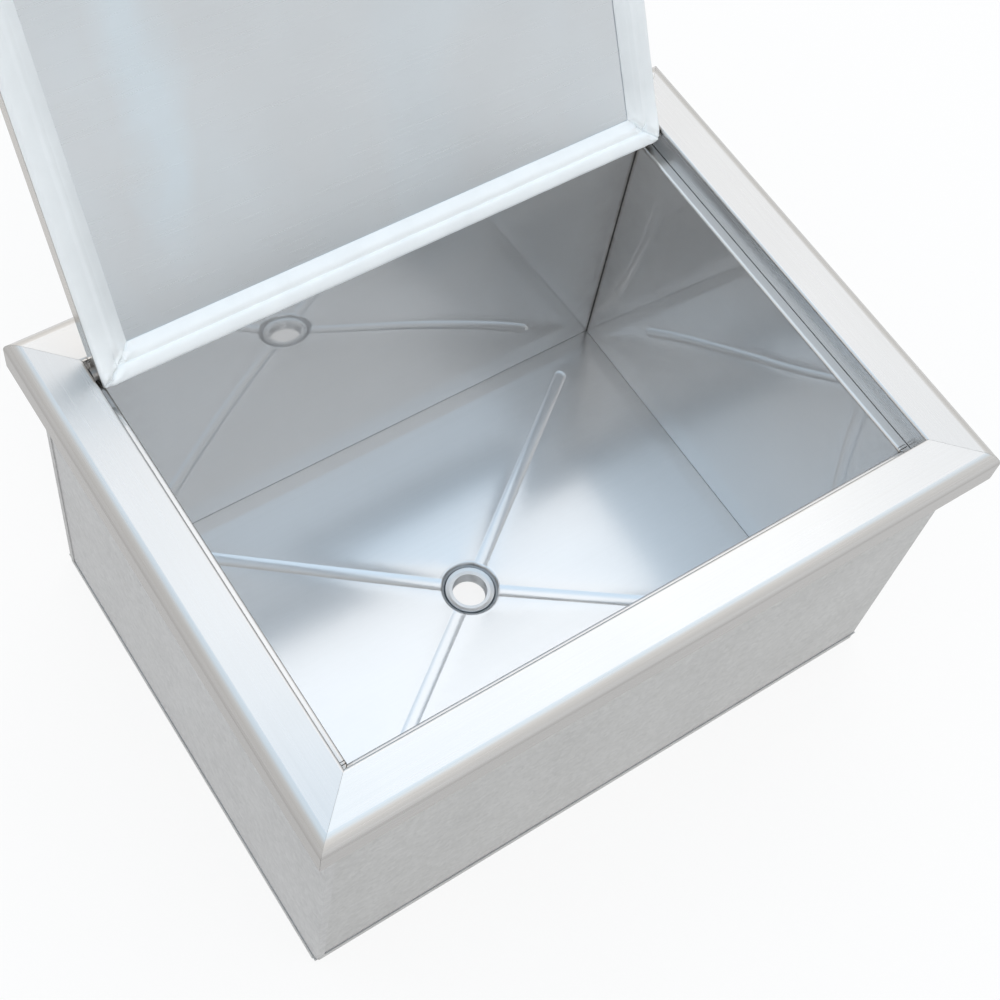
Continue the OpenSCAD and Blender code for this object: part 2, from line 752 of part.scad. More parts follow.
pivot_washer(-1);  // pivot_washer_left
pivot_washer(1);  // pivot_washer_right
bow_handle();
handle_screws();
handle_washers();
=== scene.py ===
"""Looks of the drop-in ice bin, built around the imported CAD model. Lengths are in metres.

The CAD keeps the sheet metal, the drain and the hinge. The pressed floor, the soft gasket and the drain's thread are
made here in finer form, and weld seams and marks are added. Every other piece only gets a material.
"""

import json
import math

import bmesh
import bpy
import numpy as np
from mathutils import Matrix, Vector, noise
from mathutils.geometry import delaunay_2d_cdt


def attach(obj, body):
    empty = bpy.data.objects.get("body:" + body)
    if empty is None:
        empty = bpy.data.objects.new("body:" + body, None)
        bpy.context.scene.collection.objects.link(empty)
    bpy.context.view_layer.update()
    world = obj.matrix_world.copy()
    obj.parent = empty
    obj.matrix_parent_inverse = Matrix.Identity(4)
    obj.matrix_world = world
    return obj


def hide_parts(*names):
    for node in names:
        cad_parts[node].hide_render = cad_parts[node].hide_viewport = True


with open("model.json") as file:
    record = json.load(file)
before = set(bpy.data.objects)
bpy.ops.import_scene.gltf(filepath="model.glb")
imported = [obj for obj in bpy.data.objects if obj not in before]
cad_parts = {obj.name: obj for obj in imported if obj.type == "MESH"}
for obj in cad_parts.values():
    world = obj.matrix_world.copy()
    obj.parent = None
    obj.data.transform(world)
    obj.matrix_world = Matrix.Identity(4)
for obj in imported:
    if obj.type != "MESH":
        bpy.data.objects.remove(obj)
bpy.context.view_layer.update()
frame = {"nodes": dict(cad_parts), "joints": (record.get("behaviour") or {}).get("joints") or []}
nodes = frame["nodes"]
scene = bpy.context.scene

# Sizes repeated from the CAD
RIM_L, RIM_W, BIN_H = 0.610, 0.460, 0.332
ROLL_R = 0.011
BASIN_L, BASIN_W = 0.503, 0.353
HALF_L, HALF_W = BASIN_L / 2, BASIN_W / 2
LEDGE_Z, FLOOR_Z = 0.30802, 0.030
SHEET = 0.0012
TUBE_HOLE_R, BORE_R = 0.0191, 0.016

# The lid in its own frame: closed, with its origin on the hinge's axis
LID_L = 0.515
LID_BACK, LID_FRONT = 0.008, 0.008 - 0.366661
PAN_Z = -0.0095
OPEN_DEG = 118.445


# Node trees

class Nodes:
    """Short calls for the nodes of one tree."""

    # Socket numbers of the colour version of the mix node, whose names repeat
    MIX_A, MIX_B, MIX_OUT = 6, 7, 2

    def __init__(self, tree):
        self.tree = tree
        tree.nodes.clear()

    def add(self, kind, **settings):
        node = self.tree.nodes.new(kind)
        for key, value in settings.items():
            setattr(node, key, value)
        return node

    def link(self, source, target):
        self.tree.links.new(source, target)

    def feed(self, socket, value):
        if isinstance(value, bpy.types.NodeSocket):
            self.link(value, socket)
        else:
            socket.default_value = value

    def separate(self, vector):
        node = self.add("ShaderNodeSeparateXYZ")
        self.link(vector, node.inputs[0])
        return node.outputs

    def math(self, operation, *values):
        node = self.add("ShaderNodeMath", operation=operation)
        for socket, value in zip(node.inputs, values):
            self.feed(socket, value)
        return node.outputs[0]

    def product(self, first, *others):
        for other in others:
            first = self.math("MULTIPLY", first, other)
        return first

    def span(self, value, low, high, to_low=0.0, to_high=1.0, shape="LINEAR"):
        """Low to high of the value becomes to_low to to_high, and no more beyond them."""
        node = self.add("ShaderNodeMapRange", interpolation_type=shape)
        self.feed(node.inputs["Value"], value)
        for name, number in (("From Min", low), ("From Max", high), ("To Min", to_low), ("To Max", to_high)):
            node.inputs[name].default_value = number
        return node.outputs["Result"]

    def rise(self, value, low, high):
        """0 below low and 1 above high, with a soft change between them."""
        return self.span(value, low, high, shape="SMOOTHSTEP")

    def fall(self, value, low, high):
        return self.span(value, low, high, 1.0, 0.0, "SMOOTHSTEP")

    def mix(self, factor, a, b, blend="MIX"):
        node = self.add("ShaderNodeMix", data_type="RGBA", blend_type=blend)
        self.feed(node.inputs["Factor"], factor)
        for number, value in ((self.MIX_A, a), (self.MIX_B, b)):
            self.feed(node.inputs[number], (*value, 1.0) if isinstance(value, tuple) else value)
        return node.outputs[self.MIX_OUT]


class Shader(Nodes):
    """A material's tree. Its noise is placed by the part's own coordinates, moved by shift."""

    def __init__(self, name, shift=(0, 0, 0)):
        self.material = bpy.data.materials.new(name)
        self.material.use_nodes = True
        super().__init__(self.material.node_tree)
        self.shift = shift
        self.bsdf = self.add("ShaderNodeBsdfPrincipled")
        self.out = self.add("ShaderNodeOutputMaterial")
        self.link(self.bsdf.outputs[0], self.out.inputs["Surface"])
        self.coordinates = self.add("ShaderNodeTexCoord")
        self.place = self.coordinates.outputs["Object"]
        self.at = dict(zip("xyz", self.separate(self.place)))

    def set(self, **values):
        for name, value in values.items():
            self.feed(self.bsdf.inputs[name.replace("_", " ").title().replace("Ior", "IOR")], value)

    def paint(self, colour, tone):
        node = self.add("ShaderNodeVectorMath", operation="SCALE")
        self.feed(node.inputs[0], colour)
        self.feed(node.inputs["Scale"], tone)
        self.set(base_color=node.outputs[0])

    def mapped(self, scale):
        """The part's coordinates times the scale, which is one number or one for each axis."""
        node = self.add("ShaderNodeMapping")
        self.link(self.place, node.inputs["Vector"])
        node.inputs["Scale"].default_value = scale if isinstance(scale, tuple) else (scale,) * 3
        node.inputs["Location"].default_value = self.shift
        return node.outputs[0]

    def noise(self, scale, detail=2.0, rough=0.5, distortion=0.0):
        return self.noise_at(self.mapped(scale), detail, rough, distortion)

    def noise_at(self, place, detail=2.0, rough=0.5, distortion=0.0):
        node = self.add("ShaderNodeTexNoise")
        self.link(place, node.inputs["Vector"])
        for name, number in (("Scale", 1.0), ("Detail", detail), ("Roughness", rough), ("Distortion", distortion)):
            node.inputs[name].default_value = number
        return node.outputs["Fac"]

    def vary(self, value, low, high):
        """Noise keeps mostly within 0.3 to 0.7, which becomes low to high."""
        return self.span(value, 0.3, 0.7, low, high)

    def bump(self, height, depth, strength=1.0, normal=None):
        node = self.add("ShaderNodeBump")
        node.inputs["Strength"].default_value = strength
        node.inputs["Distance"].default_value = depth
        self.link(height, node.inputs["Height"])
        if normal is not None:
            self.link(normal, node.inputs["Normal"])
        return node.outputs[0]

    def one_minus_square(self, value):
        return self.math("SUBTRACT", 1.0, self.math("MULTIPLY", value, value))

    def bulge(self, axis, half):
        """One in the middle of a basin wall, falling off to its ends, its top and its foot."""
        run = self.math("DIVIDE", self.at[axis], half)
        rise = self.math("DIVIDE", self.math("SUBTRACT", self.at["z"], WALL_MID), WALL_MID)
        return self.product(self.one_minus_square(run), self.one_minus_square(rise))

    def tangent_along(self, axis):
        node = self.add("ShaderNodeVectorTransform", vector_type="VECTOR", convert_from="OBJECT", convert_to="WORLD")
        node.inputs[0].default_value = [float(name == axis) for name in "xyz"]
        self.set(tangent=node.outputs[0])


# Steel

WALL_BOW, WALL_MID = 0.004, 0.15
GRAIN_DEPTH = 0.00002
FINE_GRAIN, BROAD_GRAIN = (9.0, 1500.0), (3.0, 260.0)
PATCH_SIZE = 11.0
# The anisotropic highlight lies across the grain, while the tangent runs along it
QUARTER_TURN = 0.25


def along(axis, lengthwise, across):
    """A texture scale that is coarse along the given axis and fine across it."""
    return tuple(lengthwise if name == axis else across for name in "xyz")


def brushed(name, colour, rough, aniso, axis, shift, streak=0.02, cloud=0.015, wave=0.0002, wave_size=5.0,
            grain_bump=0.12, coarse=0.5, gloss=None, bow=None, tints=()):
    """Brushed or rolled stainless sheet with its grain along one axis.

    streak and cloud are how far the tone varies with the grain and in wide patches. wave is the depth of the sheet's
    gentle waves, and a larger wave_size makes them shorter. coarse is the share of the broader streaks in the grain.
    gloss is (roughness, IOR) of the clear reflection that polished sheet shows over the haze of its grain. bow is the
    half length of a wall that the foam behind it presses slightly inwards. Each of the tints is a function that
    colours some part of the sheet, with its values; most of them paint shade, highlights or reflections, and one
    the welding heat's own tint."""
    s = Shader(name, (shift, shift * 1.7, shift * 0.6))
    fine = s.noise(along(axis, *FINE_GRAIN), rough=0.6)
    broad = s.noise(along(axis, *BROAD_GRAIN), detail=3.0, rough=0.55)
    patches = s.noise(PATCH_SIZE, detail=3.0)
    grain = s.math("ADD", s.math("MULTIPLY", fine, 1.0 - coarse), s.math("MULTIPLY", broad, coarse))
    paint = colour
    for tint, *values in tints:
        paint = tint(s, paint, axis, *values)
    s.paint(paint, s.math("ADD", s.vary(grain, 1.0 - streak, 1.0 + streak), s.vary(patches, -cloud, cloud)))
    surface = s.bump(s.noise(wave_size, detail=1.5, rough=0.4), wave)
    if bow:
        surface = s.bump(s.bulge(axis, bow), WALL_BOW, 1.0, surface)
    if gloss:
        s.set(coat_normal=surface, coat_weight=1.0, coat_roughness=gloss[0], coat_ior=gloss[1])
    s.set(normal=s.bump(grain, GRAIN_DEPTH, grain_bump, surface), roughness=s.vary(grain, rough * 0.9, rough * 1.1),
          metallic=1.0, anisotropic=aniso, anisotropic_rotation=QUARTER_TURN)
    s.tangent_along(axis)
    return s.material


def painted_reflection(s, paint, axis, second, middle, low):
    """Painted reflection: clouds of a bluer colour, and a soft band of it that stands at x = middle, from the height
    low up.
    """
    full_w, faded_w, fade_in, sway = 0.006, 0.034, 0.07, 0.012
    band_share, cloud_share = 0.9, 0.35
    drift = s.vary(s.noise(14.0, detail=3.0), -sway, sway)
    off = s.math("ABSOLUTE", s.math("ADD", s.math("SUBTRACT", s.at["x"], middle), drift))
    band = s.product(s.span(off, full_w, faded_w, band_share, 0.0), s.span(s.at["z"], low, low + fade_in))
    clouds = s.span(s.noise((7.0, 4.0, 4.0), distortion=0.6), 0.45, 0.65, 0.0, cloud_share)
    return s.mix(s.math("MAXIMUM", band, clouds), paint, second)


def heated(s, paint, axis, distance):
    """The tint of the welding heat beside the seams at both ends of a wall: a strong line and a broad trace."""
    line_w, line_share = 0.0045, 0.75
    trace_w, trace_share = 0.045, 0.27
    gap = s.math("SUBTRACT", distance, s.math("ABSOLUTE", s.at[axis]))
    patchy = s.noise(60.0, detail=3.0, rough=0.6)
    line = s.product(s.span(gap, 0.0, line_w, line_share, 0.0), s.span(patchy, 0.35, 0.65, 0.4, 1.0))
    trace = s.product(s.span(gap, 0.0, trace_w, trace_share, 0.0), s.vary(patchy, 0.5, 1.0))
    return s.mix(s.math("ADD", line, trace), paint, HEAT)


def shaded_along(s, paint, axis, low, high, shade_colour):
    """Painted shade: the colour drifts to a darker one between two places along the grain."""
    return s.mix(s.span(s.at[axis], low, high), paint, shade_colour)


# Where the rim's painted shade changes, in radii of its rolled edge: inwards from the rim's outer side, or down from
# its top
BEND_SPAN, ROLL_SPAN, APRON_SPAN = (1.02, 0.85), (0.75, 0.2), (0.35, 0.8)
# The lid pan's face at the hinge, which gets a painted highlight, is told by the height of its normal, and its sides,
# which get painted shade, by their place
FOOT_NORMAL_Z, SIDE_CHANGE = (-0.78, -0.62), 0.001


def rolled(s, paint, axis, distance, roll_shade, apron_shade):
    """Painted shade at the bend and on the rim's rolled edge, which ends at the given distance from the middle, and
    darker painted shade on the apron below it.
    """
    out = s.math("ABSOLUTE", s.at["y" if axis == "x" else "x"])
    down = s.math("SUBTRACT", BIN_H, s.at["z"])
    bend = s.span(out, *(distance - radii * ROLL_R for radii in BEND_SPAN))
    roll = s.span(out, *(distance - radii * ROLL_R for radii in ROLL_SPAN))
    apron = s.span(down, *(radii * ROLL_R for radii in APRON_SPAN))
    paint = s.mix(bend, paint, BEND_SHADE, "MULTIPLY")
    return s.mix(roll, paint, s.mix(apron, roll_shade, apron_shade))


def folded(s, paint, axis, distance, side_shade, foot_highlight):
    """Painted shade on the lid pan's folded sides beyond the given distance, and a painted highlight on its face at the
    hinge, which looks down.
    """
    normal_z = s.separate(s.coordinates.outputs["Normal"])[2]
    paint = s.mix(s.span(normal_z, *FOOT_NORMAL_Z, 1.0, 0.0), paint, foot_highlight)
    return s.mix(s.span(s.math("ABSOLUTE", s.at[axis]), distance, distance + SIDE_CHANGE), paint, side_shade)


def galvanised(name, colour, shift):
    """Zinc-coated sheet: soft mottled grains, faint clouds and a dull sheen."""
    cells_per_metre, specks_per_metre, clouds_per_metre = 210.0, 420.0, 14.0
    s = Shader(name, (shift,) * 3)
    cells = s.add("ShaderNodeTexVoronoi", feature="F1")
    s.feed(cells.inputs["Vector"], s.mapped(cells_per_metre))
    s.feed(cells.inputs["Scale"], 1.0)
    cell = s.add("ShaderNodeSeparateColor")
    s.link(cells.outputs["Color"], cell.inputs[0])
    speckle = s.noise(specks_per_metre, detail=4.0, rough=0.65)
    cloud = s.noise(clouds_per_metre, detail=3.0, rough=0.55)
    tone = s.math("ADD", s.span(cell.outputs[0], 0.0, 1.0, 0.955, 1.03), s.vary(speckle, -0.07, 0.07))
    s.paint(colour, s.math("ADD", tone, s.vary(cloud, -0.03, 0.03)))
    surface = s.bump(speckle, depth=0.00004, strength=0.6, normal=s.bump(cloud, depth=0.0004))
    s.set(roughness=s.span(cell.outputs[1], 0.0, 1.0, 0.44, 0.58), normal=surface, metallic=0.6)
    return s.material


def turned(name, colour, rough, aniso):
    """Turned steel with rings round the Z axis."""
    rings_per_metre = 3200.0
    s = Shader(name)
    radius = s.math("SQRT", s.math("ADD", s.product(s.at["x"], s.at["x"]), s.product(s.at["y"], s.at["y"])))
    place = s.add("ShaderNodeCombineXYZ")
    s.feed(place.inputs[0], s.product(radius, rings_per_metre))
    s.feed(place.inputs[1], s.product(s.at["z"], rings_per_metre))
    rings = s.noise_at(place.outputs[0])
    tangent = s.add("ShaderNodeTangent", direction_type="RADIAL", axis="Z")
    s.paint(colour, s.vary(rings, 0.94, 1.06))
    s.set(roughness=s.vary(rings, rough * 0.8, rough * 1.2), normal=s.bump(rings, depth=0.00003, strength=0.6),
          tangent=tangent.outputs[0], metallic=1.0, anisotropic=aniso, anisotropic_rotation=QUARTER_TURN)
    return s.material


# Other materials

def vinyl(name, colour):
    """Soft white vinyl: a faint uneven sheen and a leathery surface, with painted shade that darkens it a little away
    from the hinge side.
    """
    unshaded_z, shaded_z, shade_tone = 0.342, 0.375, 0.82
    s = Shader(name)
    cloud = s.noise(35.0, detail=3.0)
    pores = s.noise(900.0, rough=0.6)
    # Painted shade: the colour falls to a darker tone higher up, away from the hinge side
    s.paint(colour, s.product(s.span(s.at["z"], unshaded_z, shaded_z, 1.0, shade_tone), s.vary(cloud, 0.965, 1.02)))
    surface = s.bump(pores, depth=0.00002, strength=0.6, normal=s.bump(cloud, depth=0.0004))
    s.set(roughness=s.vary(cloud, 0.34, 0.46), normal=surface, coat_weight=0.15, coat_roughness=0.3)
    return s.material


def plain(name, colour, rough, grain_size, grain_depth, metallic=0.0):
    """A matt material with a grain of the given size."""
    s = Shader(name)
    grain = s.noise(1 / grain_size, detail=3.0, rough=0.6)
    s.paint(colour, s.vary(grain, 0.93, 1.07))
    s.set(roughness=s.vary(grain, rough * 0.9, rough * 1.1), normal=s.bump(grain, grain_depth), metallic=metallic)
    return s.material


# Colours, and the roughness and IOR of the polished sheets' clear reflection
# The rim's front and back are painted lighter than its left and right as painted light, and darker towards their right
# ends as painted shade
RIM, RIM_FRONT, RIM_CORNER_SHADE = (0.69, 0.69, 0.69), (0.81, 0.795, 0.78), (0.74, 0.74, 0.74)
# Painted shade for the rim's bend, roll and apron, darker on its left and right than on its front and back
BEND_SHADE = (0.985, 0.965, 0.94)
ROLL_X, APRON_X = (0.64, 0.635, 0.63), (0.42, 0.41, 0.40)
ROLL_Y, APRON_Y = (0.53, 0.52, 0.51), (0.375, 0.362, 0.35)
# The floor's steel is painted bluer and the walls' warmer, as painted reflection of the cool ceiling
BASIN, WALL, HEAT = (0.63, 0.67, 0.71), (0.63, 0.62, 0.61), (0.24, 0.19, 0.15)
# The lid liner is painted bluish, with lighter and bluer clouds and a band, as painted reflection
LID, LID_REFLECTION = (0.685, 0.725, 0.76), (0.70, 0.785, 0.85)
# The pan's sides are painted darker as shade, and its face at the hinge near white as a painted highlight
PAN_SIDE_SHADE, PAN_FOOT_HIGHLIGHT = (0.50, 0.48, 0.455), (0.96, 0.97, 0.98)
WALL_GLOSS, FLOOR_GLOSS = (0.03, 4.0), (0.17, 4.0)

SATIN = {"streak": 0.035, "grain_bump": 0.2, "coarse": 0.4}
POLISHED_WALL = {"wave": 0.00025, "wave_size": 6.5, "grain_bump": 0.2, "gloss": WALL_GLOSS}
# A steel sheet's colour is followed by its roughness, its anisotropy, its grain's axis and its own shift of the noise
materials = {
    "rim_x": brushed("rim_x", RIM_FRONT, 0.26, 0.6, "x", 1.3, **SATIN, tints=(
        (shaded_along, 0.14, 0.29, RIM_CORNER_SHADE), (rolled, RIM_W / 2, ROLL_X, APRON_X))),
    "rim_y": brushed("rim_y", RIM, 0.26, 0.6, "y", 2.9, **SATIN, tints=((rolled, RIM_L / 2, ROLL_Y, APRON_Y),)),
    "basin_x": brushed("basin_x", WALL, 0.42, 0.6, "x", 0.4, **POLISHED_WALL, bow=HALF_L, tints=((heated, HALF_L),)),
    "basin_y": brushed("basin_y", WALL, 0.42, 0.6, "y", 4.1, **POLISHED_WALL, bow=HALF_W, tints=((heated, HALF_W),)),
    "floor": brushed("floor", BASIN, 0.34, 0.4, "x", 6.2, wave_size=9.0, grain_bump=0.2, gloss=FLOOR_GLOSS),
    "lid_x": brushed("lid_x", LID, 0.30, 0.5, "x", 3.3, streak=0.005, cloud=0.02, wave=0.0003, grain_bump=0.012,
                     coarse=0.0, tints=((painted_reflection, LID_REFLECTION, -0.163, 0.365),)),
    "pan": brushed("pan", RIM, 0.27, 0.55, "x", 8.2, **SATIN, tints=((folded, LID_L / 2 - SHEET, PAN_SIDE_SHADE, PAN_FOOT_HIGHLIGHT),)),
    "handle": brushed("handle", RIM, 0.24, 0.6, "x", 5.0, wave=0.00005, wave_size=9.0, grain_bump=0.3),
    "machined": brushed("machined", (0.32, 0.315, 0.31), 0.4, 0.4, "x", 7.0, wave=0.00002, wave_size=20.0),
    "drain": turned("drain", (0.74, 0.75, 0.76), 0.36, 0.5),
    # Painted shade: the front, back and base are a little darker than the left and right, though all are one galvanised
    # sheet
    "casing_x": galvanised("casing_x", (0.485, 0.485, 0.48), 0.3),
    "casing_y": galvanised("casing_y", (0.515, 0.515, 0.515), 1.7),
    "vinyl": vinyl("vinyl", (0.935, 0.975, 0.995)),
    "foam": plain("foam", (0.86, 0.78, 0.52), 0.9, 0.002, 0.0003),
    "rubber": plain("rubber", (0.24, 0.24, 0.245), 0.6, 0.0015, 0.00008),
    "weld": plain("weld", (0.42, 0.38, 0.33), 0.45, 0.0006, 0.0001, 0.9),
    "seam": plain("seam", (0.07, 0.062, 0.058), 0.5, 0.0012, 0.0001, 0.7),
}
DRESSED = {
    "rim_x": ("rim_front", "rim_back"),
    "rim_y": ("rim_left", "rim_right"),
    "basin_x": ("basin_front", "basin_back"),
    "basin_y": ("basin_left", "basin_right"),
    "lid_x": ("lid_liner",),
    "pan": ("lid_pan",),
    "handle": ("bow_handle",),
    "machined": ("hinge_block_left", "hinge_block_right", "lid_block_left", "lid_block_right", "pivot_pin_left",
                 "pivot_pin_right", "pivot_washer_left", "pivot_washer_right", "handle_screws", "handle_washers"),
    "drain": ("drain_fitting", "drain_locknut"),
    "casing_x": ("casing_front", "casing_back", "base_pan"),
    "casing_y": ("casing_left", "casing_right"),
    "foam": ("foam_fill", "lid_foam"),
    "rubber": ("drain_seal",),
}
for material_name, node_names in DRESSED.items():
    for node_name in node_names:
        nodes[node_name].data.materials.clear()
        nodes[node_name].data.materials.append(materials[material_name])


# Meshes

def new_object(name, mesh, material, body):
    piece = bpy.data.objects.new(name, mesh)
    scene.collection.objects.link(piece)
    mesh.materials.append(materials[material])
    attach(piece, body)
    return piece


def closed_piece(name, verts, faces, material, slot, body, matrix=None, merge=None):
    """A closed piece with its faces turned outwards, moved by the matrix, its points merged within a distance."""
    mesh = bpy.data.meshes.new(name)
    mesh.from_pydata(verts, [], faces)
    if matrix:
        mesh.transform(matrix)
    bm = bmesh.new()
    bm.from_mesh(mesh)
    if merge:
        bmesh.ops.remove_doubles(bm, verts=bm.verts, dist=merge)
    bmesh.ops.recalc_face_normals(bm, faces=bm.faces)
    bm.to_mesh(mesh)
    bm.free()
    return new_object(name, mesh, material, body)


def swept(rows, ring=False):
    """Points and faces of a solid through rows of points, which ends in two caps unless it is a ring."""
    count, size = len(rows), len(rows[0])
    faces = []
    for k in range(count if ring else count - 1):
        here, after = k * size, (k + 1) % count * size
        for j in range(size):
            beside = (j + 1) % size
            faces.append((here + j, here + beside, after + beside, after + j))
    if not ring:
        faces += [tuple(reversed(range(size))), tuple((count - 1) * size + j for j in range(size))]
    return [point for row in rows for point in row], faces


def smooth_min(a, b, k):
    h = np.clip(0.5 + 0.5 * (b - a) / k, 0, 1)
    return b * (1 - h) + a * h - k * h * (1 - h)


def smooth_max(a, b, k):
    return -smooth_min(-a, -b, k)


# The pressed floor: a level border, a field that falls to the drain, four beads towards the corners, beside which the
# sheet swells a little, and a recess with a soft lip. The blends are the widths over which two surfaces melt together.
BORDER, DISH_FALL, BORDER_BLEND = 0.014, 0.011, 0.00015
RECESS_R, RECESS_LOW_R, RECESS_DEPTH, RECESS_EDGE_R = 0.0254, 0.0228, 0.005, 0.0022
RECESS_BLEND, LIP_BLEND = 0.0008, 0.0042
BEAD_W, BEAD_DEPTH, BEAD_POWER, BEAD_BLEND = 0.0115, 0.0007, 2.8, 0.0002
BEAD_SWELL, SWELL_W = 0.0005, 0.009
BEAD_ANGLE = math.atan2(BASIN_W, BASIN_L) + math.radians(1.2)
BEAD_START, BEAD_END = 0.0275, 0.2459
BEND_X, BEND_Y = BASIN_L / 2 - BORDER, BASIN_W / 2 - BORDER
DISH_SIDES = 91

# Its mesh: an open grid with extra lines at the border's bend, close rings over the recess's lip, and rows that follow
# the beads on both sides, closest together at a bead's foot
GRID, BEND_CLEAR = 0.0075, 0.0045
BEND_LINES = np.array([-0.004, -0.0015, 0.0, 0.0015])
BEAD_CLEAR, GRID_R, BEAD_R = 0.0092, 0.036, 0.0355
RINGS = np.concatenate([[TUBE_HOLE_R], np.linspace(0.0205, 0.0225, 3), np.linspace(0.0230, 0.0290, 16),
                        [0.0305, 0.0325, 0.0345]])
RING_POINTS = 160
BEAD_SIDE = [1.5, 2.7, 3.6, 4.3, 4.8, 5.2, 5.5, 5.75, 6.0, 6.4, 7.0, 7.8]
BEAD_ROWS = np.array([-row for row in reversed(BEAD_SIDE)] + [0.0] + BEAD_SIDE) / 1000
BEAD_RUN = np.concatenate([np.arange(0.030, 0.238, 0.0045), np.arange(0.2395, 0.2548, 0.0006)])


def from_bead(x, y):
    """The distances along and across the bead of the corner that a point lies towards."""
    px, py = np.abs(x), np.abs(y)
    return (px * math.cos(BEAD_ANGLE) + py * math.sin(BEAD_ANGLE),
            -px * math.sin(BEAD_ANGLE) + py * math.cos(BEAD_ANGLE))


def floor_height(x, y):
    px, py = np.abs(x), np.abs(y)
    flat_r = RECESS_R + RECESS_EDGE_R + SHEET
    low = FLOOR_Z - DISH_FALL
    share = np.zeros_like(px)
    for angle in np.linspace(0, math.pi / 2, DISH_SIDES):
        ux, uy = math.cos(angle), math.sin(angle)
        share = np.maximum(share, (px * ux + py * uy - flat_r) / (BEND_X * ux + BEND_Y * uy - flat_r))
    dish = low + DISH_FALL * share
    z = smooth_min(dish, np.full_like(dish, FLOOR_Z), BORDER_BLEND)
    run, off = from_bead(x, y)
    d = np.hypot(run - np.clip(run, BEAD_START, BEAD_END), off)
    bead = BEAD_DEPTH * (1 - (d / (BEAD_W / 2)) ** BEAD_POWER)
    swell = BEAD_SWELL * np.exp(-np.maximum(d - BEAD_W / 2, 0) / SWELL_W)
    z = z - smooth_max(bead, np.zeros_like(bead), BEAD_BLEND) + swell
    recess_z = low - RECESS_DEPTH
    slope = RECESS_DEPTH / (RECESS_R - RECESS_LOW_R)
    cup = recess_z + (np.hypot(x, y) - RECESS_LOW_R) * slope
    cup = smooth_max(cup, np.full_like(cup, recess_z), RECESS_BLEND)
    return smooth_min(z, cup, LIP_BLEND)


def grid_lines(half, bend):
    lines = np.linspace(-half, half, round(2 * half / GRID) + 1)
    lines = lines[np.abs(np.abs(lines) - bend) > BEND_CLEAR]
    return np.unique(np.concatenate([lines, bend + BEND_LINES, -bend - BEND_LINES]))


def floor_points():
    """Where the floor's mesh has its points, seen from above."""
    half_x, half_y = HALF_L + SHEET, HALF_W + SHEET
    xs, ys = np.meshgrid(grid_lines(half_x, BEND_X), grid_lines(half_y, BEND_Y))
    x, y = xs.ravel(), ys.ravel()
    run, off = from_bead(x, y)
    edge = (np.abs(x) > half_x - 1e-6) | (np.abs(y) > half_y - 1e-6)
    off_beads = (np.abs(off) > BEAD_CLEAR) | (run > BEAD_END + BEAD_CLEAR)
    keep = edge | ((np.hypot(x, y) > GRID_R) & off_beads)
    points = list(zip(x[keep], y[keep]))
    turn = np.linspace(0, 2 * math.pi, RING_POINTS + 1)[:-1]
    for radius in RINGS:
        points += zip(radius * np.cos(turn), radius * np.sin(turn))
    for sx, sy in ((-1, -1), (-1, 1), (1, -1), (1, 1)):
        for row in BEAD_ROWS:
            for t in BEAD_RUN:
                x = t * math.cos(BEAD_ANGLE) - row * math.sin(BEAD_ANGLE)
                y = t * math.sin(BEAD_ANGLE) + row * math.cos(BEAD_ANGLE)
                if math.hypot(x, y) > BEAD_R:
                    points.append((sx * x, sy * y))
    return points


def floor_normals(mesh):
    """The exact normals of the sheet's two faces, and each edge face's own."""
    step = 0.0002
    place = np.array([tuple(v.co) for v in mesh.vertices])
    x, y = place[:, 0], place[:, 1]
    slope_x = (floor_height(x + step, y) - floor_height(x - step, y)) / (2 * step)
    slope_y = (floor_height(x, y + step) - floor_height(x, y - step)) / (2 * step)
    up = np.column_stack([-slope_x, -slope_y, np.ones_like(slope_x)])
    up /= np.linalg.norm(up, axis=1)[:, None]
    normals = []
    for polygon in mesh.polygons:
        for v in polygon.vertices:
            if polygon.use_smooth:
                normals.append(tuple(up[v] if polygon.normal.z > 0 else -up[v]))
            else:
                normals.append(tuple(polygon.normal))
    return normals


def pressed_floor():
    """The floor sheet as a fine mesh of triangles above and below, with quads round its edges."""
    flat, _, faces, _, _, _ = delaunay_2d_cdt([Vector(p) for p in floor_points()], [], [], 0, 1e-6)
    flat = np.array([tuple(v) for v in flat])
    faces = [f for f in faces if math.hypot(*flat[list(f)].mean(0)) > TUBE_HOLE_R * 0.9995]
    heights = floor_height(flat[:, 0], flat[:, 1])
    top = [(float(x), float(y), float(z)) for (x, y), z in zip(flat, heights)]
    low = [(x, y, z - SHEET) for x, y, z in top]
    n = len(top)
    edges = dict.fromkeys((f[i], f[(i + 1) % 3]) for f in faces for i in range(3))
    walls = [(b, a, a + n, b + n) for a, b in edges if (b, a) not in edges]
    faces = [tuple(f) for f in faces] + [tuple(i + n for i in reversed(f)) for f in faces] + walls
    mesh = bpy.data.meshes.new("floor_plate")
    mesh.from_pydata(top + low, [], faces)
    bm = bmesh.new()
    bm.from_mesh(mesh)
    bmesh.ops.delete(bm, geom=[v for v in bm.verts if not v.link_faces], context="VERTS")
    bm.to_mesh(mesh)
    bm.free()
    for polygon in mesh.polygons:
        polygon.use_smooth = len(polygon.vertices) == 3
    mesh.normals_split_custom_set(floor_normals(mesh))
    piece = new_object("floor_plate", mesh, "floor", "bin")
    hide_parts("basin_floor")


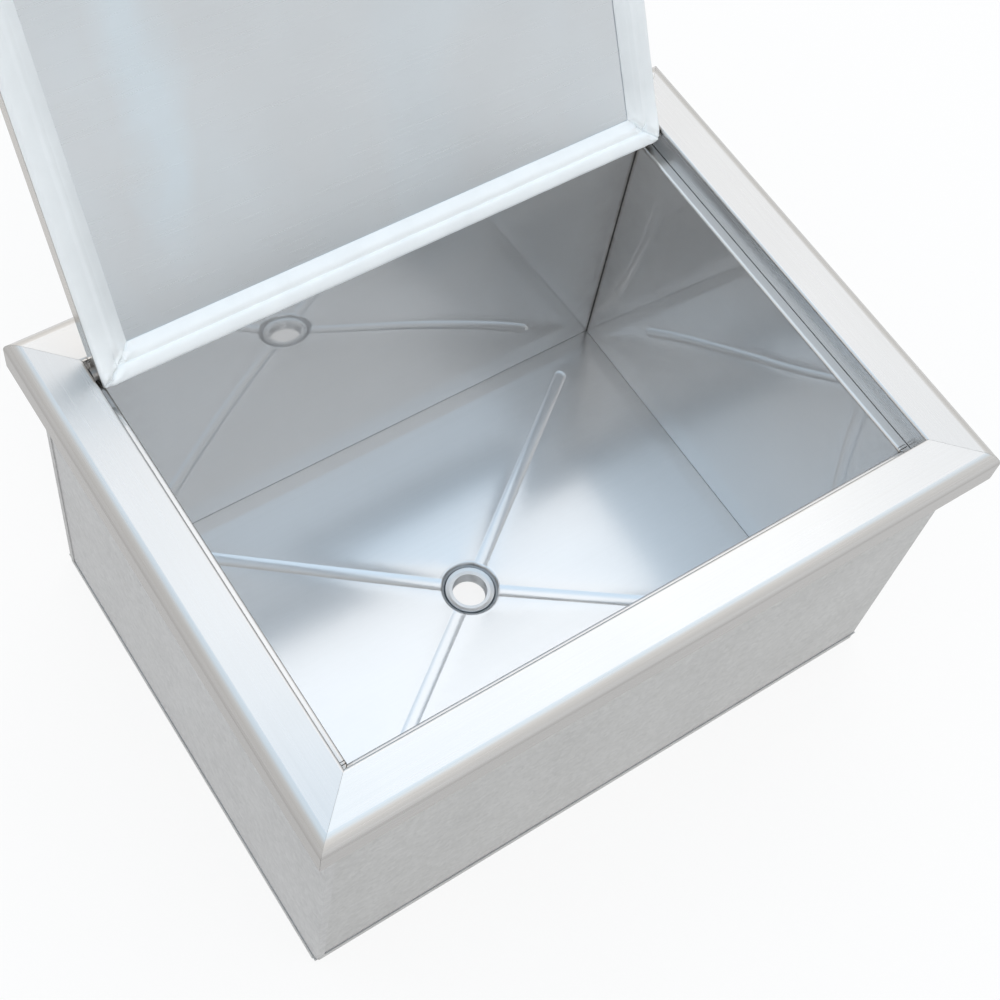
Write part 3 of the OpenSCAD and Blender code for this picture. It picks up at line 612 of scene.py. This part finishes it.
# The gasket's section as (distance in from the outer edge, height) in millimetres: a full outer lobe, a step down
# at the crease, and a lower inner lobe that slopes to the panel
GASKET_SECTION = ((1.0, -0.1), (0.1, -1.0), (0.2, -3.4), (0.7, -5.8), (1.8, -7.2), (3.4, -7.8), (5.8, -8.0),
                  (8.6, -8.0), (11.0, -7.8), (12.6, -7.3), (13.3, -6.6), (13.5, -5.7), (13.9, -5.1), (14.5, -5.2),
                  (15.3, -5.7), (16.8, -6.0), (18.6, -6.0), (20.0, -5.7), (21.2, -5.1), (22.8, -4.2), (24.4, -3.1),
                  (25.6, -2.2), (26.5, -1.6), (27.2, -1.1), (27.5, -0.6), (27.2, -0.1))
# On the lid's left and right sides the crease is filled up to this height, from FILL_START to FILL_START + FILL_RUN
FILL_HEIGHT, FILL_START, FILL_RUN = -0.0074, 0.004, 0.012
CREASE_IN, CREASE_OUT = 0.0125, 0.0180
# Steps along a side: close together near its corners, even between them
CORNER_STEPS = (0.0, 0.0004, 0.0012, 0.0024, 0.004, 0.006, 0.0085, 0.012, 0.016, 0.021, 0.027, 0.034)
EVEN_START, EVEN_STOP, EVEN_STEP = 0.042, 0.041, 0.006
# The lobes sink a little, wave softly and sway sideways. Near a corner's weld they are also pinched, by depths that
# fade with the distance from it, crumpled and pushed aside. The foot, outside FOOT_OUT to FOOT_IN, stays straight.
SINK, SOFT_WAVE, SOFT_RIPPLE, SWAY = 0.0004, 0.0005, 0.00022, 0.0003
PINCHES = ((0.0020, 0.0007), (0.0006, 0.006))
CRUMPLE, CRUMPLE_FADE, CRUMPLES_PER_METRE = 0.0045, 0.008, 260
PUSH, PUSH_FADE, PUSHES_PER_METRE = 0.0018, 0.004, 170
LOBE_H, FOOT_OUT, FOOT_IN, WAVES_PER_METRE = 0.004, 0.0012, 0.026, 42


def uneven(place, per_metre, layer):
    return noise.noise(Vector((place.x * per_metre, place.y * per_metre, layer)))


def gasket_row(corner, direction, length, t, has_fill):
    """The section's points at the distance t from a corner, in the lid's frame."""
    inward = Vector((-direction.y, direction.x))
    filled = min(1.0, max(0.0, (min(t, length - t) - FILL_START) / FILL_RUN)) if has_fill else 0.0
    row = []
    for s, h in GASKET_SECTION:
        s, h = s / 1000, h / 1000
        if CREASE_IN < s < CREASE_OUT:
            h += (FILL_HEIGHT - h) * filled
        reach = s + (length - 2 * s) * t / length
        p = corner + direction * reach + inward * s
        gap = min(reach - s, length - s - reach)
        wave = Vector((p.x * WAVES_PER_METRE, p.y * WAVES_PER_METRE, 3.1))
        lobe = min(1.0, max(0.0, -h / LOBE_H))
        soft = noise.noise(wave) * SOFT_WAVE + noise.noise(wave * 3.1) * SOFT_RIPPLE
        pinch = sum(math.exp(-gap / fade) * depth for depth, fade in PINCHES)
        crumple = math.exp(-gap / CRUMPLE_FADE) * uneven(p, CRUMPLES_PER_METRE, 7.7) * CRUMPLE
        z = h + lobe * (pinch + soft + crumple + SINK)
        if FOOT_OUT < s < FOOT_IN:
            push = math.exp(-gap / PUSH_FADE) * PUSH
            p = p + Vector((uneven(p, PUSHES_PER_METRE, 1.3), uneven(p, PUSHES_PER_METRE, 5.9))) * push
            p = p + inward * (lobe * noise.noise(wave * 1.7) * SWAY)
        row.append((p.x, p.y, PAN_Z + min(z, -0.0001)))
    return row


def gasket_ring():
    """The gasket as one ring with welded corners: crowned lobes, pinched mitres and soft unevenness."""
    corners = [Vector((-LID_L / 2, LID_FRONT)), Vector((LID_L / 2, LID_FRONT)),
               Vector((LID_L / 2, LID_BACK)), Vector((-LID_L / 2, LID_BACK))]
    rows = []
    for i, corner in enumerate(corners):
        side = corners[(i + 1) % 4] - corner
        length = side.length
        even = np.arange(EVEN_START, length - EVEN_STOP, EVEN_STEP)
        for t in [*CORNER_STEPS, *even, *(length - step for step in reversed(CORNER_STEPS[1:]))]:
            rows.append(gasket_row(corner, side.normalized(), length, t, i % 2 == 1))
    hinge = Vector(frame["joints"][0]["pos_m"])
    to_rest = Matrix.Translation(hinge) @ Matrix.Rotation(math.radians(-OPEN_DEG), 4, "X")
    piece = closed_piece("gasket_ring", *swept(rows, ring=True), "vinyl", "gasket_vinyl", "lid", to_rest, 1e-6)
    for polygon in piece.data.polygons:
        polygon.use_smooth = True
    piece.data.set_sharp_from_angle(angle=math.radians(50))
    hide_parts("gasket_front", "gasket_right", "gasket_back", "gasket_left")


# The drain's thread starts a little above the tube's mouth and bites slightly into its wall
THREAD_PITCH, THREAD_HEIGHT, THREAD_START, THREAD_TURNS = 0.0023, 0.0007, 0.0012, 5.4
THREAD_FOOT, THREAD_CREST, THREAD_BITE = 0.0009, 0.00012, 0.0001
THREAD_STEPS, THREAD_FADE_STEPS = 72, 12


def drain_thread():
    """The thread's crests in the drain's bore: one helix that fades out at its ends."""
    rows = []
    total = int(THREAD_TURNS * THREAD_STEPS)
    for i in range(total + 1):
        angle = 2 * math.pi * i / THREAD_STEPS
        z = THREAD_START + THREAD_PITCH * i / THREAD_STEPS
        fade = min(1.0, i / THREAD_FADE_STEPS, (total - i) / THREAD_FADE_STEPS)
        foot = THREAD_FOOT * fade + 0.00001
        root_r, crest_r = BORE_R + THREAD_BITE, BORE_R - THREAD_HEIGHT * fade
        rows.append([(r * math.cos(angle), r * math.sin(angle), z + dz) for r, dz in (
            (root_r, -foot), (crest_r, -THREAD_CREST), (crest_r, THREAD_CREST), (root_r, foot))])
    closed_piece("drain_thread", *swept(rows), "drain", "drain_steel", "bin")


# The basin's corners are welded from inside: a thin dark seam runs up each, a little uneven
SEAM_LEG, SEAM_THROAT, SEAM_BITE = 0.0013, 0.42, 0.0001
SEAM_LOW, SEAM_HIGH, SEAM_STEPS = FLOOR_Z + 0.0002, LEDGE_Z - 0.004, 90
SEAM_UNEVEN, SEAM_BUMPS_PER_METRE = 0.25, 160


def corner_seam(name, sx, sy):
    x, y = sx * (HALF_L + SEAM_BITE), sy * (HALF_W + SEAM_BITE)
    rows = []
    for i in range(SEAM_STEPS + 1):
        z = SEAM_LOW + (SEAM_HIGH - SEAM_LOW) * i / SEAM_STEPS
        leg = SEAM_LEG * (1 + SEAM_UNEVEN * noise.noise(Vector((sx * 3, sy * 5, z * SEAM_BUMPS_PER_METRE))))
        throat = leg * SEAM_THROAT
        rows.append([(x, y, z), (x - sx * leg, y, z), (x - sx * throat, y - sy * throat, z), (x, y - sy * leg, z)])
    closed_piece(name, *swept(rows), "seam", "basin_steel", "bin")


# Small flattened blobs of weld along the front ledge, each with its place along it and its length
WELD_MARKS = ((-0.190, 0.0034), (-0.146, 0.0026), (-0.118, 0.0030), (0.049, 0.0024))
WELD_Y, WELD_W, WELD_H, WELD_UNEVEN = -0.1846, 0.0015, 0.0004, 0.22


def weld_mark(name, x, length):
    around, rings = 14, 4
    verts, faces = [(x, WELD_Y, LEDGE_Z + WELD_H)], []
    for r in range(1, rings + 1):
        share = r / rings
        for i in range(around):
            a = 2 * math.pi * i / around
            wobble = 1 + WELD_UNEVEN * noise.noise(Vector((x * 90 + math.cos(a), math.sin(a), share)))
            verts.append((x + length / 2 * share * wobble * math.cos(a),
                          WELD_Y + WELD_W / 2 * share * wobble * math.sin(a),
                          LEDGE_Z + WELD_H * math.sqrt(max(0.0, 1 - share ** 2))))
    for i in range(around):
        faces.append((0, 1 + i, 1 + (i + 1) % around))
        for r in range(rings - 1):
            a, b = 1 + r * around + i, 1 + r * around + (i + 1) % around
            faces.append((a, a + around, b + around, b))
    last = 1 + (rings - 1) * around
    faces.append(tuple(reversed(range(last, last + around))))
    piece = closed_piece(name, verts, faces, "weld", "rim_steel", "bin")
    for polygon in piece.data.polygons[:-1]:
        polygon.use_smooth = True


# Dark, uneven lines across the ledge where two wall panels meet: (y, length, width). The section is half a line's
# width times the first number, and the height above the ledge.
LEDGE_JOINTS = ((-0.1738, 0.0072, 0.0005), (-0.1762, 0.0080, 0.0007))
JOINT_X, JOINT_STEPS, JOINT_TIP = 0.2558, 14, 0.35
JOINT_UNEVEN, JOINT_DRIFT = 0.35, 0.0002
JOINT_SECTION = ((-1, -0.0002), (-1, 0.00003), (-0.4, 0.00014), (0.4, 0.00014), (1, 0.00003), (1, -0.0002))


def ledge_joint(name, middle, y, length, width):
    rows = []
    for i in range(JOINT_STEPS + 1):
        x = middle + length * (i / JOINT_STEPS - 0.5)
        half = width / 2 * (1 + JOINT_UNEVEN * noise.noise(Vector((x * 900, y * 70, 2.2))))
        half *= JOINT_TIP if i in (0, JOINT_STEPS) else 1
        drift = JOINT_DRIFT * noise.noise(Vector((x * 500, y * 90, 4.4)))
        rows.append([(x, y + drift + dy * half, LEDGE_Z + dz) for dy, dz in JOINT_SECTION])
    closed_piece(name, *swept(rows), "seam", "basin_steel", "bin")


pressed_floor()
gasket_ring()
drain_thread()
for corner_name, sx, sy in (("back_right", 1, 1), ("back_left", -1, 1), ("front_right", 1, -1),
                            ("front_left", -1, -1)):
    corner_seam("seam_" + corner_name, sx, sy)
for number, mark in enumerate(WELD_MARKS):
    weld_mark("weld_mark_%d" % number, *mark)
for side_name, sx in (("right", 1), ("left", -1)):
    for number, joint in enumerate(LEDGE_JOINTS):
        ledge_joint("ledge_joint_%s_%d" % (side_name, number), sx * JOINT_X, *joint)


# Stage, light and camera

STAGE_REACH, STAGE_Z = 9.0, -0.0004
STAGE_GLOW = 0.82


def studio_floor():
    """A white floor that mostly glows by itself where the camera or a reflection sees it, so that it stays white."""
    mesh = bpy.data.meshes.new("studio_floor")
    r = STAGE_REACH
    mesh.from_pydata([(-r, -r, 0), (r, -r, 0), (r, r, 0), (-r, r, 0)], [], [(0, 1, 2, 3)])
    piece = bpy.data.objects.new("studio_floor", mesh)
    piece.location.z = STAGE_Z
    scene.collection.objects.link(piece)
    s = Shader("studio_floor")
    s.set(base_color=s.mix(s.noise(4.0), (0.965, 0.95, 0.935), (0.975, 0.96, 0.945)), roughness=0.9)
    ray = s.add("ShaderNodeLightPath").outputs
    direct = s.math("MAXIMUM", ray["Is Camera Ray"], ray["Is Glossy Ray"])
    direct = s.math("MAXIMUM", direct, ray["Is Transmission Ray"])
    blend = s.add("ShaderNodeMixShader")
    s.link(s.product(direct, STAGE_GLOW), blend.inputs[0])
    s.link(s.bsdf.outputs[0], blend.inputs[1])
    s.link(s.add("ShaderNodeEmission").outputs[0], blend.inputs[2])
    s.link(blend.outputs[0], s.out.inputs["Surface"])
    mesh.materials.append(s.material)


# The room's colours, dark to light
CARD = (0.15, 0.155, 0.16)
WALLS_LOW, WALLS_HIGH = (0.80, 0.79, 0.775), (0.84, 0.84, 0.835)
CEILING, CEILING_COOL = (0.90, 0.905, 0.91), (0.88, 1.05, 1.21)
SOFT_LIGHT_DIM, SOFT_LIGHT, FRONT_LIGHT = (1.18,) * 3, (1.5,) * 3, (3.2,) * 3


def studio_light():
    """A pale room: a cool ceiling, a broad soft light high at the back right, a small one in front on the left, and
    a dark card at the front left corner. Each is bounded by the direction (x, y, z), or by x / z and y / z."""
    world = bpy.data.worlds.new("studio")
    scene.world = world
    world.use_nodes = True
    w = Nodes(world.node_tree)
    x, y, z = w.separate(w.add("ShaderNodeTexCoord").outputs["Generated"])
    left, front = w.math("MULTIPLY", x, -1.0), w.math("MULTIPLY", y, -1.0)
    height = w.math("MAXIMUM", z, 0.05)
    across, ahead = w.math("DIVIDE", x, height), w.math("DIVIDE", y, height)
    slant = w.math("MULTIPLY_ADD", across, 0.5, ahead)

    room = w.mix(w.rise(z, -0.2, 0.35), WALLS_LOW, WALLS_HIGH)
    ceiling = w.mix(w.rise(ahead, -0.50, -0.30), CEILING, CEILING_COOL)
    room = w.mix(w.rise(z, 0.70, 0.84), room, ceiling)
    card = w.product(w.rise(left, 0.31, 0.42), w.rise(front, 0.34, 0.44), w.rise(z, 0.3, 0.5))
    room = w.mix(card, room, CARD)
    soft = w.product(w.rise(across, 0.02, 0.2), w.fall(across, 1.0, 1.3), w.rise(slant, 0.40, 0.50),
                     w.fall(ahead, 1.0, 1.4), w.rise(z, 0.45, 0.6))
    dimmed = w.math("MAXIMUM", w.rise(ahead, 0.48, 0.7), w.rise(across, 0.5, 0.72))
    room = w.mix(soft, room, w.mix(dimmed, SOFT_LIGHT, SOFT_LIGHT_DIM))
    panel = w.product(w.rise(front, 0.55, 0.72), w.rise(z, 0.30, 0.42), w.fall(z, 0.66, 0.76), w.fall(x, -0.1, 0.12))
    room = w.mix(panel, room, FRONT_LIGHT)

    background = w.add("ShaderNodeBackground")
    w.link(room, background.inputs[0])
    w.link(background.outputs[0], w.add("ShaderNodeOutputWorld").inputs["Surface"])


# The camera, fitted to the photo's straight edges: angles in degrees, lens and sensor in millimetres
CAMERA_TURN, CAMERA_LIFT, CAMERA_ROLL = -45.28, 59.457, 13.477
CAMERA_PLACE = (-0.5233, -0.5289, 1.4448)
LENS, SENSOR = 63.77, 36


def photo_camera():
    turn, lift, roll = math.radians(CAMERA_TURN), math.radians(CAMERA_LIFT), math.radians(CAMERA_ROLL)
    away = Vector((math.sin(turn) * math.cos(lift), -math.cos(turn) * math.cos(lift), math.sin(lift)))
    right = Vector((math.cos(turn), math.sin(turn), 0))
    up = away.cross(right)
    across = math.cos(roll) * right + math.sin(roll) * up
    upward = -math.sin(roll) * right + math.cos(roll) * up
    data = bpy.data.cameras.new("photo_camera")
    data.sensor_width = SENSOR
    data.lens = LENS
    camera = bpy.data.objects.new("photo_camera", data)
    facing = Matrix((across, upward, away)).transposed().to_4x4()
    camera.matrix_world = Matrix.Translation(CAMERA_PLACE) @ facing
    scene.collection.objects.link(camera)
    scene.camera = camera


studio_floor()
studio_light()
photo_camera()
scene.view_settings.view_transform = "Standard"
